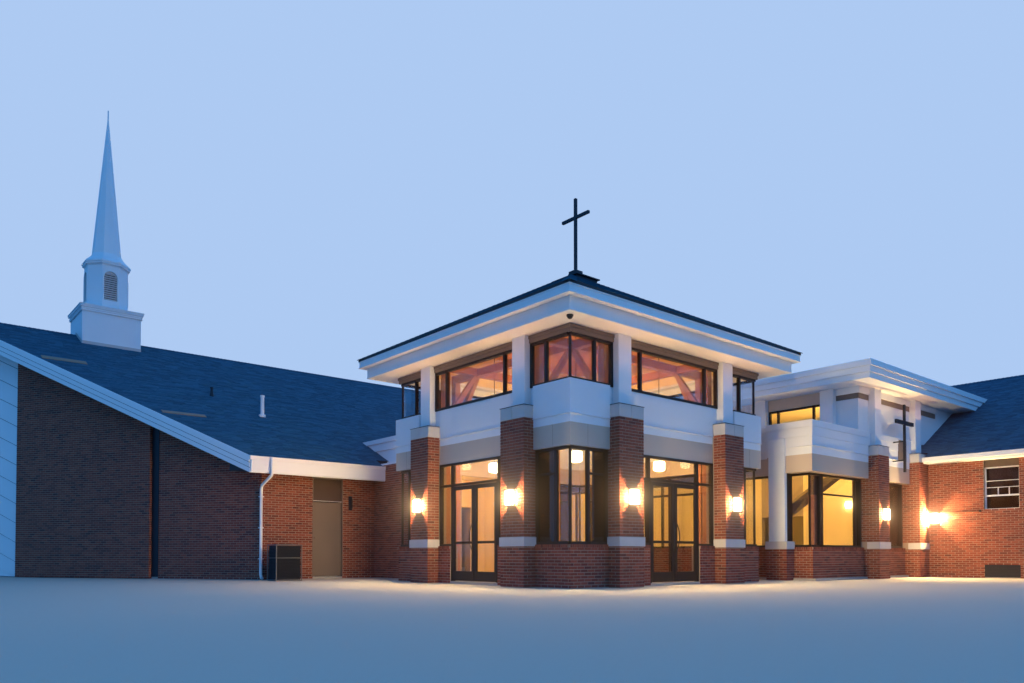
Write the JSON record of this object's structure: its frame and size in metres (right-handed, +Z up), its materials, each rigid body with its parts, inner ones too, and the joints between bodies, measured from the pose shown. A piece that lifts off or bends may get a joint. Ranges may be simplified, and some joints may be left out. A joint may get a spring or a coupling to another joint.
{
  "type": "modern church building, 1:2 scale model",
  "caption": "Church with a square glazed entrance lobby under a hipped roof, a gabled sanctuary with a steeple, a flat-roofed hall and a gabled wing.",
  "frame": {"origin": "centre of the lobby's floor slab, on its underside, where it rests on the ground", "axes": "+X along the sanctuary's ridge towards the wing, +Y from the front of the building to its back, +Z up"},
  "size_m": [18.7922, 22.0575, 8.72],
  "materials": {
    "brick": "matte",
    "concrete": "matte",
    "white_trim": "satin",
    "lintel": "satin",
    "shingle": "matte",
    "glass": "gloss",
    "bronze": "satin",
    "timber": "satin",
    "dark_metal": "satin",
    "brown_paint": "satin",
    "equipment": "satin"
  },
  "bodies": {
    "building": {"lobby_brickwork_front": "brick", "lobby_brickwork_left": "brick", "lobby_brickwork_right": "brick", "lobby_brickwork_back": "brick", "link_wall_left": "brick", "link_wall_right": "brick", "sanctuary_wall_front_left": "brick", "sanctuary_wall_over_door": "brick", "sanctuary_wall_front_right": "brick", "prow_wall_front": "brick", "sanctuary_walls_rear": "brick", "hall_brickwork": "brick", "wing_wall_left": "brick", "wing_walls_outer": "brick", "floor_slab": "concrete", "lobby_belt": "white_trim", "lobby_upper_frame": "white_trim", "lobby_eave": "white_trim", "link_roof": "white_trim", "prow_siding": "white_trim", "sanctuary_fascia": "white_trim", "downspout": "white_trim", "roof_vent_pipe": "white_trim", "steeple_base": "white_trim", "steeple_belfry": "white_trim", "hall_belt_roof": "white_trim", "hall_corner_column": "white_trim", "hall_upper_walls": "white_trim", "hall_upper_roof": "white_trim", "lobby_lintel": "lintel", "hall_lintel": "lintel", "lobby_roof": "shingle", "sanctuary_roof": "shingle", "steeple_spire": "white_trim", "wing_roof": "shingle", "lobby_upper_glass": "glass", "lobby_corner_glass_front": "glass", "lobby_corner_glass_left": "glass", "lobby_corner_glass_right": "glass", "lobby_corner_glass_back": "glass", "lobby_side_glass": "glass", "hall_glass": "glass", "hall_upper_glass": "glass", "wing_windows_left": "glass", "wing_windows_right": "glass", "right_entrance_door_frame": "bronze", "left_entrance_door_frame": "bronze", "lobby_timber_frame": "timber", "lobby_cross": "dark_metal", "prow_strip": "dark_metal", "roof_vent_box": "dark_metal", "hall_wall_cross": "dark_metal", "side_door_panel": "brown_paint", "condenser_unit": "equipment"},
    "right_entrance_left_leaf": {"right_entrance_door_left": "bronze"},
    "right_entrance_right_leaf": {"right_entrance_door_right": "bronze"},
    "left_entrance_left_leaf": {"left_entrance_door_left": "bronze"},
    "left_entrance_right_leaf": {"left_entrance_door_right": "bronze"},
    "side_door_leaf": {"side_door": "brown_paint"}
  },
  "joints": [
    {"name": "right_entrance_left_hinge", "type": "hinge", "parent": "building", "child": "right_entrance_left_leaf", "pos_m": [-0.435, -1.6725, 0], "axis": [0, 0, -1], "range_deg": [0, 90]},
    {"name": "right_entrance_right_hinge", "type": "hinge", "parent": "building", "child": "right_entrance_right_leaf", "pos_m": [0.435, -1.6725, 0], "axis": [0, 0, 1], "range_deg": [0, 90]},
    {"name": "left_entrance_left_hinge", "type": "hinge", "parent": "building", "child": "left_entrance_left_leaf", "pos_m": [-1.76, 0.435, 0], "axis": [0, 0, -1], "range_deg": [0, 90]},
    {"name": "left_entrance_right_hinge", "type": "hinge", "parent": "building", "child": "left_entrance_right_leaf", "pos_m": [-1.76, -0.435, 0], "axis": [0, 0, 1], "range_deg": [0, 90]},
    {"name": "side_door_hinge", "type": "hinge", "parent": "building", "child": "side_door_leaf", "pos_m": [-1.7715, 3.4325, 0], "axis": [0, 0, 1], "range_deg": [0, 90]}
  ]
}
